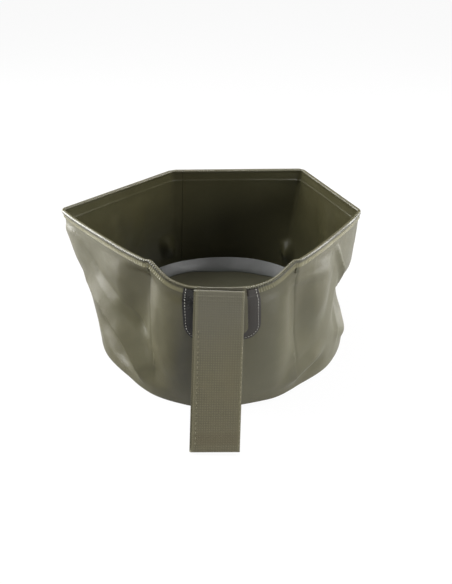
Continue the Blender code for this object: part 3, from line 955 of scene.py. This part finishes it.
class BUCKET_OT_base(bpy.types.Operator):
    """Build the base cloth, and the wall's lower margin that is welded down on it"""

    bl_idname = "bucket.base"
    bl_label = "Base"

    def execute(self, context):
        shop = workshop()
        cloth = shop.cloth
        edge = cloth.thickness / 2 + FOOT_GAP
        steps = np.linspace(-1, 1, BASE_STEPS)
        x, y = disc_place(*np.meshgrid(steps, steps, indexing="ij"))
        turn = np.arctan2(y, x) % tau
        radius = np.hypot(x, y) * (base_radius(turn) - edge)
        x = radius * np.cos(turn)
        y = radius * np.sin(turn)
        outer = np.stack([x, y, self.lift(x, y, radius) + cloth.thickness], axis=-1)
        inner = np.stack([x, y, np.zeros_like(x)], axis=-1)
        flat = np.stack([x, y], axis=-1)
        disc = shell("base_cloth", outer, inner, flat, materials=[shop.base])
        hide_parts("base_disc")
        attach(disc, "base")
        self.make_margin(shop, edge)
        return {"FINISHED"}

    def lift(self, x, y, radius):
        """The base lies flat, apart from a few low swellings away from its edge."""
        swell = 0.0008
        scale = 16.0
        level = 0.3
        calm = 0.03
        raised = 0.2
        values = [noise.noise(Vector((p, q, level)) * scale) for p, q in zip(x.ravel(), y.ravel())]
        inside = ease((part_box("base_disc")[1].x - calm - radius) / calm)
        return np.clip(np.array(values).reshape(x.shape) + raised, 0, 1) * swell * inside

    def make_margin(self, shop, edge):
        """A cove inside the foot of the wall, which springs up most at the back."""
        front_rise = 0.0012
        back_rise = 0.0108
        flat_width = 0.02
        mouth = shop.mouth
        cloth = shop.cloth
        turn = mouth.turn[:, None]
        back = np.clip(np.sin(turn), 0, 1) ** 1.2
        uneven = 1 + 0.26 * np.sin(turn * 5 + 0.7) + 0.16 * np.sin(turn * 11 + 2.0)
        width = MARGIN_FRONT_WIDTH + (MARGIN_WIDTH - MARGIN_FRONT_WIDTH) * back * uneven
        share = np.linspace(0, 1, MARGIN_ROWS)[None, :]
        radius = base_radius(turn) - edge - width * (1 - share)
        lift = cloth.thickness + SKIN_GAP + (front_rise + back_rise * back) * share ** 1.25
        under = np.stack([radius * np.cos(turn), radius * np.sin(turn), lift], axis=-1)
        over = under + np.array([0, 0, cloth.thickness])
        flat = flat_grid(mouth.closed_run, np.linspace(0, flat_width, MARGIN_ROWS))
        margin = shell("base_margin", over, under, flat, wrap=True, materials=[shop.margin])
        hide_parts("base_flange")
        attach(margin, "base")


class BUCKET_OT_rods(bpy.types.Operator):
    """Give the six rods in the hem their finish"""

    bl_idname = "bucket.rods"
    bl_label = "Rods"

    def execute(self, context):
        for side in SIDES:
            rod = frame["nodes"]["rim_rod_" + side]
            rod.data.materials.clear()
            rod.data.materials.append(workshop().rod)
        return {"FINISHED"}


def flap_grid(width, top, bottom, rounding, across_steps, down_steps):
    """Places (across, down) of a flap with rounded lower corners, where its rows are a little closer."""
    crowding = 0.9
    down = top + (bottom - top) * np.linspace(0, 1, down_steps) ** crowding
    into = np.clip(down - (bottom - rounding), 0, rounding)
    half = width / 2 - rounding + np.sqrt(rounding ** 2 - into ** 2)
    across = np.linspace(-1, 1, across_steps)[:, None] * half[None, :]
    return np.stack([across, np.broadcast_to(down, across.shape)], axis=-1)


def lay_flap(shop, name, side, shift, places, gap, thickness, material):
    """A flap that lies on the wall, in front of it by a gap that may change from place to place."""
    run = shop.mouth.middle_of(side) + shift + places[..., 0]
    depth = places[..., 1]
    outer = shop.wall.place(run, depth, gap + thickness / 2)
    inner = shop.wall.place(run, depth, gap - thickness / 2)
    return shell(name, outer, inner, places, materials=[material])


def patch_gap(shop, places):
    """A patch lies on the wall, and beside the strap it passes over the hem."""
    fall_from = 0.0075
    fall_to = 0.0105
    beside_strap = 0.002
    half = (shop.cloth.thickness + shop.patch.thickness) / 2
    low = half + SKIN_GAP
    high = shop.hem.tunnel + half + SKIN_GAP / 2
    beside = ease((np.abs(places[..., 0]) - shop.strap.width / 2) / beside_strap)
    over = ease((fall_to - places[..., 1]) / (fall_to - fall_from))
    return low + (high - low) * over * beside


class BUCKET_OT_patches(bpy.types.Operator):
    """Build the charcoal patches that reinforce the wall under the straps"""

    bl_idname = "bucket.patches"
    bl_label = "Patches"

    def execute(self, context):
        shop = workshop()
        patch = shop.patch
        top = shop.hem.outer_leg + SKIN_GAP
        flap = flap_grid(patch.width, top, patch.depth, patch.rounding, across_steps=61, down_steps=61)
        places = self.raise_ears(shop, flap)
        gap = patch_gap(shop, places)
        for place, side in HANDLE_SIDES.items():
            name = place + "_patch_cloth"
            piece = lay_flap(shop, name, side, 0.0, places, gap, patch.thickness, shop.charcoal)
            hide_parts(place + "_patch")
            cross_the_rim(piece)
        return {"FINISHED"}

    def raise_ears(self, shop, places):
        """Beside the strap the patch reaches up to the rod, and behind the strap it ends below the hem."""
        ear_top = 0.0006
        clear_of_strap = 0.0012
        bottom = places[0, -1, 1]
        top = places[0, 0, 1]
        ear = np.abs(places[:, :1, 0]) > shop.strap.width / 2 + clear_of_strap
        stretch = np.where(ear, (bottom - ear_top) / (bottom - top), 1.0)
        down = bottom - (bottom - places[..., 1]) * stretch
        return np.stack([places[..., 0], down], axis=-1)


def tab_gap(shop, places):
    """A tab lies on its patch, and its top stands out in front of the hem."""
    rise_from = 0.016
    rise_to = 0.0045
    half = (shop.cloth.thickness + shop.strap.thickness) / 2
    low = half + 2 * SKIN_GAP + shop.patch.thickness
    high = half + SKIN_GAP + shop.hem.tunnel
    return low + (high - low) * ease((rise_from - places[..., 1]) / (rise_from - rise_to))


class BUCKET_OT_tabs(bpy.types.Operator):
    """Build the strap ends that are sewn down on the patches"""

    bl_idname = "bucket.tabs"
    bl_label = "Tabs"

    def execute(self, context):
        shop = workshop()
        strap = shop.strap
        for place, side in HANDLE_SIDES.items():
            top = self.top_of(shop, place, side)
            places = flap_grid(
                strap.width, top, strap.tab_depth, strap.tab_rounding, across_steps=41, down_steps=49
            )
            name = place + "_tab_strap"
            gap = tab_gap(shop, places)
            piece = lay_flap(shop, name, side, TAB_SHIFT, places, gap, strap.thickness, shop.webbing)
            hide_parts(place + "_tab")
            cross_the_rim(piece)
        return {"FINISHED"}

    def top_of(self, shop, place, side):
        """The depth below the rod of the CAD tab's top."""
        own = shop.mouth.points[shop.mouth.owner == SIDES.index(side)]
        rod_height = own[len(own) // 2][2]
        return rod_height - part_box(place + "_tab")[1].z


class Hinge:
    """A handle's joint from the frame: its place, its axis and the way its loop hangs."""

    def __init__(self, place):
        fold_reach = 0.01
        joint = next(item for item in frame["joints"] if item["name"] == place + "_handle_swing")
        points = node_points(place + "_handle_loop")
        self.place = np.array(joint["pos_m"])
        self.across = -unit(np.array(joint["axis"]))
        middle = (points.min(0) + points.max(0)) / 2 - self.place
        self.down = unit(middle - self.across * (middle @ self.across))
        self.front = np.cross(self.across, self.down)
        if self.front[2] < 0:
            self.front = -self.front
        along = (points - self.place) @ self.down
        ends = np.abs((points - self.place) @ self.front)
        self.length = along.max()
        self.half_top = ends[along < fold_reach].max()
        self.half_end = ends[along >= fold_reach].max()


class BUCKET_OT_loops(bpy.types.Operator):
    """Build the doubled straps that hang as handles"""

    bl_idname = "bucket.loops"
    bl_label = "Handle loops"

    def execute(self, context):
        shop = workshop()
        for place in HANDLE_SIDES:
            piece = self.make_loop(shop, place, Hinge(place))
            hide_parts(place + "_handle_loop")
            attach(piece, place + "_handle")
        return {"FINISHED"}

    def outline(self, hinge, thickness):
        """The middle of the strap seen from its edge: (down, front) places round the flat loop."""
        bend_steps = 12
        run_steps = 90
        top = hinge.half_top - thickness / 2
        end = hinge.half_end - thickness / 2
        reach = hinge.length - hinge.half_end
        over = np.linspace(-pi / 2, pi / 2, bend_steps)
        start = [(-top * cos(turn), top * sin(turn)) for turn in over]
        share = np.linspace(0, 1, run_steps + 2)[1:-1] ** 1.6
        fall = [(reach * s, top + (end - top) * s) for s in share]
        under = [(reach + end * cos(turn), end * sin(turn)) for turn in over[::-1]]
        back = [(reach * s, -top - (end - top) * s) for s in share[::-1]]
        return np.array(start + fall + under + back)

    def make_loop(self, shop, place, hinge):
        across_steps = 41
        layer_depth = 0.0024
        strap = shop.strap
        outline = self.outline(hinge, strap.thickness)
        closed = np.vstack([outline[-1:], outline, outline[:1]])
        normals = profile_normals(closed)[1:-1]
        across = strap.width / 2 * np.sin(np.linspace(-pi / 2, pi / 2, across_steps))
        askew = 1 - LOOP_ASKEW * (across / strap.width + 0.5) / hinge.length
        behind = -BACK_LAYER_SHIFT * ease(0.5 - outline[:, 1:] / layer_depth)
        crown = self.crown(across, strap)
        gather = self.gather(outline, across)
        faces = []
        for side in (1, -1):
            edge = outline + normals * strap.thickness / 2 * side
            down = edge[:, None, 0] * askew
            front = edge[:, None, 1] + normals[:, None, 1] * (crown * side + gather)
            spot = hinge.place + hinge.down * down[..., None] + hinge.front * front[..., None]
            faces.append(spot + hinge.across * (across + behind)[..., None])
        steps = np.linalg.norm(np.diff(np.vstack([outline, outline[:1]]), axis=0), axis=1)
        flat = flat_grid(np.append(0, np.cumsum(steps)), across)[..., ::-1]
        name = place + "_loop_strap"
        return shell(name, faces[0], faces[1], flat, wrap=True, materials=[shop.webbing])

    def crown(self, across, strap):
        """Webbing is thinner at its very edges, and its right edge is rolled."""
        height = 0.0004
        roll_inset = 0.0013
        roll_width = 0.0008
        edge_width = 0.0018
        inset = strap.width / 2 - np.abs(across)
        roll = np.where(across > 0, np.exp(-(((inset - roll_inset) / roll_width) ** 2)), 0.0)
        return height * (roll - 1 + ease(inset / edge_width))

    def gather(self, outline, across):
        """Two low rolls across the front of the strap, just under its fold."""
        waves = 620
        down = outline[:, :1]
        front = outline[:, 1:] > 0
        uneven = 0.7 + 0.3 * np.sin(across * waves + 1.0)
        rolls = sum(push * np.exp(-(((down - place) / width) ** 2)) for place, width, push in STRAP_ROLLS)
        return np.where(front, rolls * uneven, 0.0)


def stitch_tree(thread, name):
    """Geometry nodes that lay stitches along the edges of a mesh, with their pitch, length and radius."""
    tree = bpy.data.node_groups.new(name, "GeometryNodeTree")
    tree.interface.new_socket("Geometry", in_out="INPUT", socket_type="NodeSocketGeometry")
    for label in ("Pitch", "Length", "Radius"):
        tree.interface.new_socket(label, in_out="INPUT", socket_type="NodeSocketFloat")
    tree.interface.new_socket("Geometry", in_out="OUTPUT", socket_type="NodeSocketGeometry")
    nodes = Nodes(tree)
    guide, pitch, length, radius = (
        nodes.node("NodeGroupInput", output=label) for label in ("Geometry", "Pitch", "Length", "Radius")
    )
    path = nodes.node("GeometryNodeMeshToCurve", inputs={0: guide})
    even = nodes.node("GeometryNodeResampleCurve", {"mode": "LENGTH"}, {0: path, "Length": pitch})
    tangent = nodes.node("GeometryNodeInputTangent")
    turn = nodes.node("FunctionNodeAlignRotationToVector", {"axis": "X"}, {"Vector": tangent})
    grain = nodes.node("GeometryNodeMeshUVSphere", inputs={"Segments": 8, "Rings": 6, "Radius": 0.5})
    thick = radius * 2.0
    size = nodes.node("ShaderNodeCombineXYZ", inputs={0: length, 1: thick, 2: thick})
    inputs = {0: even, "Instance": grain, "Rotation": turn, "Scale": size}
    laid = nodes.node("GeometryNodeInstanceOnPoints", inputs=inputs)
    real = nodes.node("GeometryNodeRealizeInstances", inputs={0: laid})
    dressed = nodes.node("GeometryNodeSetMaterial", inputs={0: real, "Material": thread})
    nodes.node("NodeGroupOutput", inputs={0: dressed})
    return tree


def sew(name, lines, tree, sizes):
    """Lay stitches along lines of points and bake them to a plain mesh."""
    verts = []
    edges = []
    for line in lines:
        first = len(verts)
        verts += [tuple(point) for point in line]
        edges += [(first + spot, first + spot + 1) for spot in range(len(line) - 1)]
    guide_mesh = bpy.data.meshes.new(name + "_guide")
    guide_mesh.from_pydata(verts, edges, [])
    guide = add_object(name + "_guide", guide_mesh)
    modifier = guide.modifiers.new("stitches", "NODES")
    modifier.node_group = tree
    for socket in tree.interface.items_tree:
        if socket.in_out == "INPUT" and socket.name in sizes:
            modifier[socket.identifier] = sizes[socket.name]
    evaluated = guide.evaluated_get(bpy.context.evaluated_depsgraph_get())
    mesh = bpy.data.meshes.new_from_object(evaluated)
    mesh.name = name
    guide.modifiers.remove(modifier)
    bpy.data.objects.remove(guide, do_unlink=True)
    mesh.shade_smooth()
    return add_object(name, mesh)


class BUCKET_OT_stitches(bpy.types.Operator):
    """Sew the straps' edges and the patches"""

    bl_idname = "bucket.stitches"
    bl_label = "Stitches"

    def execute(self, context):
        shop = workshop()
        strap = shop.strap
        tree = stitch_tree(shop.thread, "stitches")
        pale_tree = stitch_tree(shop.pale_thread, "pale stitches")
        sizes = {"Pitch": strap.stitch_pitch, "Length": strap.stitch_length, "Radius": 0.00042}
        fine = {"Pitch": 0.0032, "Length": 0.0020, "Radius": 0.00032}
        for place, side in HANDLE_SIDES.items():
            loop = sew(place + "_loop_stitches", self.loop_lines(shop, place), tree, sizes)
            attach(loop, place + "_handle")
            patch = sew(place + "_patch_stitches", self.patch_lines(shop, side), pale_tree, fine)
            cross_the_rim(patch)
        return {"FINISHED"}

    def loop_lines(self, shop, place):
        """A seam along the left of each face of the loop, and one on its rolled right edge."""
        rolled_inset = 0.0012
        left_from = 0.25
        right_from = 0.34
        seam_to = 0.955
        line_steps = 80
        hinge = Hinge(place)
        strap = shop.strap
        left = strap.seam_inset - strap.width / 2
        right = strap.width / 2 - rolled_inset
        lines = []
        for face, behind in ((1, 0.0), (-1, -BACK_LAYER_SHIFT)):
            for across, start in ((left, left_from), (right, right_from)):
                share = np.linspace(start, seam_to, line_steps)[:, None]
                half = hinge.half_top + (hinge.half_end - hinge.half_top) * share
                line = hinge.place + hinge.down * share * (hinge.length - hinge.half_end)
                line = line + hinge.front * face * (half + STITCH_GAP)
                lines.append(line + hinge.across * (across + behind))
        return lines

    def patch_lines(self, shop, side):
        """A seam just inside a patch's sides and round its lower corners."""
        inset = 0.0022
        top = 0.0016
        corner_steps = 12
        line_steps = 160
        patch = shop.patch
        half = patch.width / 2 - inset
        rounding = patch.rounding - inset
        bottom = patch.depth - inset
        turns = np.linspace(0, pi / 2, corner_steps)[1:]
        right = [(half, top), (half, bottom - rounding)]
        right += [(half - rounding * (1 - cos(t)), bottom - rounding * (1 - sin(t))) for t in turns]
        places = np.array([(-x, y) for x, y in right] + right[::-1])
        steps = np.append(0, np.cumsum(np.linalg.norm(np.diff(places, axis=0), axis=1)))
        even = np.linspace(0, steps[-1], line_steps)
        across = np.interp(even, steps, places[:, 0])
        depth = np.interp(even, steps, places[:, 1])
        height = patch_gap(shop, np.stack([across, depth], axis=-1)) + patch.thickness / 2 + STITCH_GAP
        run = shop.mouth.middle_of(side) + across
        return [shop.wall.place(run, depth, height)]


# The studio's lamps: where each stands, its size and its power in watts
LAMPS = {
    "over": ((0.0, 0.10, 1.7), (1.2, 0.9), 14.0),
    "over left": ((-0.9, 0.1, 1.1), (0.8, 0.8), 24.0),
    "over right": ((0.9, 0.1, 1.1), (0.8, 0.8), 13.0),
    "left": ((-1.05, 0.34, 0.34), (0.8, 0.7), 31.0),
    "right": ((1.05, 0.34, 0.34), (0.8, 0.7), 20.0),
    "front right": ((1.05, -1.8, 0.60), (1.0, 0.6), 28.0),
}
LAMP_TARGET = (0, 0, 0.08)

# How much of the floor's white shows, to the camera and in reflections
FLOOR_GLOW = 0.94

# A painted shadow on the floor at the front left, seen in reflections only, standing in for the bucket's
# shade on
# the floor near its foot: its middle, how far out it is darkest, and its edge
PAINTED_SHADOW_PLACE = (-0.25, -0.19, 0.0)
PAINTED_SHADOW_CORE = 0.096
PAINTED_SHADOW_REACH = 0.24
WHITE = (1, 1, 1, 1)
PAINTED_SHADOW_BLACK = (0.04, 0.04, 0.04, 1)


def aim(thing, place, target):
    """Stand a lamp or the camera at a place, turned towards a target."""
    thing.location = place
    thing.rotation_euler = (Vector(target) - Vector(place)).to_track_quat("-Z", "Y").to_euler()


def soft_box(name, place, size, power):
    """A soft studio lamp."""
    lamp = bpy.data.lights.new(name, "AREA")
    lamp.shape = "RECTANGLE"
    lamp.size, lamp.size_y = size
    lamp.energy = power
    aim(add_object(name, lamp), place, LAMP_TARGET)


class BUCKET_OT_stage(bpy.types.Operator):
    """Set the floor, the lamps, the even light and the camera"""

    bl_idname = "bucket.stage"
    bl_label = "Stage"

    def execute(self, context):
        stage = context.scene.bucket_stage
        self.make_floor(stage)
        self.make_world(stage)
        for name, (place, size, power) in LAMPS.items():
            soft_box("lamp " + name, place, size, power)
        self.make_camera(stage)
        context.scene.view_settings.view_transform = "Standard"
        return {"FINISHED"}

    def make_floor(self, stage):
        half = 6.0
        corners = ((-half, -half), (half, -half), (half, half), (-half, half))
        mesh = bpy.data.meshes.new("floor")
        mesh.from_pydata([(x, y, -FLOOR_GAP) for x, y in corners], [], [(0, 1, 2, 3)])
        mesh.materials.append(self.floor_material(stage))
        floor = add_object("floor", mesh)

    def floor_material(self, stage):
        """A pale floor that reads white to the camera and keeps the shadow.

        It is white in reflections too, but for a painted shadow at the front left, which stands in for the
        bucket's shade on the floor near its foot.
        """
        shade = Shade("pale floor")
        shade.set(Base_Color=(*stage.floor, 1.0), Roughness=0.9, Specular_IOR_Level=0.1)
        seen = shade.node("ShaderNodeLightPath", output="Is Camera Ray")
        mirrored = shade.node("ShaderNodeLightPath", output="Is Glossy Ray")
        through_glass = shade.node("ShaderNodeLightPath", output="Is Transmission Ray")
        inputs = {0: shade.place(), 1: PAINTED_SHADOW_PLACE}
        away = shade.node("ShaderNodeVectorMath", {"operation": "DISTANCE"}, inputs, output=1)
        # painted shadow: reflections see the floor near black here
        in_painted_shadow = mirrored * (1.0 - away.smooth(PAINTED_SHADOW_CORE, PAINTED_SHADOW_REACH))
        glow = shade.mix(in_painted_shadow, WHITE, PAINTED_SHADOW_BLACK)
        white = shade.node("ShaderNodeEmission", inputs={"Color": glow, "Strength": 1.0})
        share = (seen + mirrored + through_glass).at_most(1.0) * FLOOR_GLOW
        surface = Signal(shade, shade.shader.outputs[0])
        both = shade.node("ShaderNodeMixShader", inputs={0: share, 1: surface, 2: white})
        shade.feed(shade.tree.nodes["Material Output"].inputs[0], both)
        return shade.material

    def make_world(self, stage):
        """White to the camera, and a faint even light on everything else."""
        world = bpy.data.worlds.new("studio")
        bpy.context.scene.world = world
        world.use_nodes = True
        nodes = Nodes(world.node_tree)
        background = world.node_tree.nodes["Background"]
        seen = nodes.node("ShaderNodeLightPath", output="Is Camera Ray")
        nodes.feed(background.inputs["Color"], WHITE)
        nodes.feed(background.inputs["Strength"], seen.at_least(stage.ambient))

    def make_camera(self, stage):
        data = bpy.data.cameras.new("camera")
        data.lens = stage.lens
        camera = add_object("camera", data)
        aim(camera, stage.eye, stage.target)
        bpy.context.scene.camera = camera


class BUCKET_PT_pieces(bpy.types.Panel):
    """Lists the bucket's sizes and the operators that build it"""

    bl_label = "Folding bucket"
    bl_idname = "BUCKET_PT_pieces"
    bl_space_type = "VIEW_3D"
    bl_region_type = "UI"
    bl_category = "Bucket"

    def draw(self, context):
        scene = context.scene
        for group, label in GROUPS.values():
            box = self.layout.box()
            box.label(text=label)
            settings = getattr(scene, group)
            for name in settings.__annotations__:
                box.prop(settings, name)
        for operator in OPERATORS:
            self.layout.operator(operator.bl_idname)


GROUPS = {
    BucketCloth: ("bucket_cloth", "Cloth"),
    BucketHem: ("bucket_hem", "Hem"),
    BucketPatch: ("bucket_patch", "Patches"),
    BucketStrap: ("bucket_strap", "Straps"),
    BucketStage: ("bucket_stage", "Stage"),
}
OPERATORS = (
    BUCKET_OT_stage,
    BUCKET_OT_wall,
    BUCKET_OT_hem,
    BUCKET_OT_base,
    BUCKET_OT_rods,
    BUCKET_OT_patches,
    BUCKET_OT_tabs,
    BUCKET_OT_loops,
    BUCKET_OT_stitches,
)


def register():
    for group, (name, label) in GROUPS.items():
        bpy.utils.register_class(group)
        setattr(bpy.types.Scene, name, PointerProperty(type=group, name=label))
    for operator in OPERATORS:
        bpy.utils.register_class(operator)
    bpy.utils.register_class(BUCKET_PT_pieces)


def unregister():
    bpy.utils.unregister_class(BUCKET_PT_pieces)
    for operator in reversed(OPERATORS):
        bpy.utils.unregister_class(operator)
    for group, (name, _) in GROUPS.items():
        delattr(bpy.types.Scene, name)
        bpy.utils.unregister_class(group)


def main():
    """Build every piece in order."""
    register()
    bpy.ops.bucket.stage()
    bpy.ops.bucket.wall()
    bpy.ops.bucket.hem()
    bpy.ops.bucket.base()
    bpy.ops.bucket.rods()
    bpy.ops.bucket.patches()
    bpy.ops.bucket.tabs()
    bpy.ops.bucket.loops()
    bpy.ops.bucket.stitches()


if __name__ == "__main__":
    main()
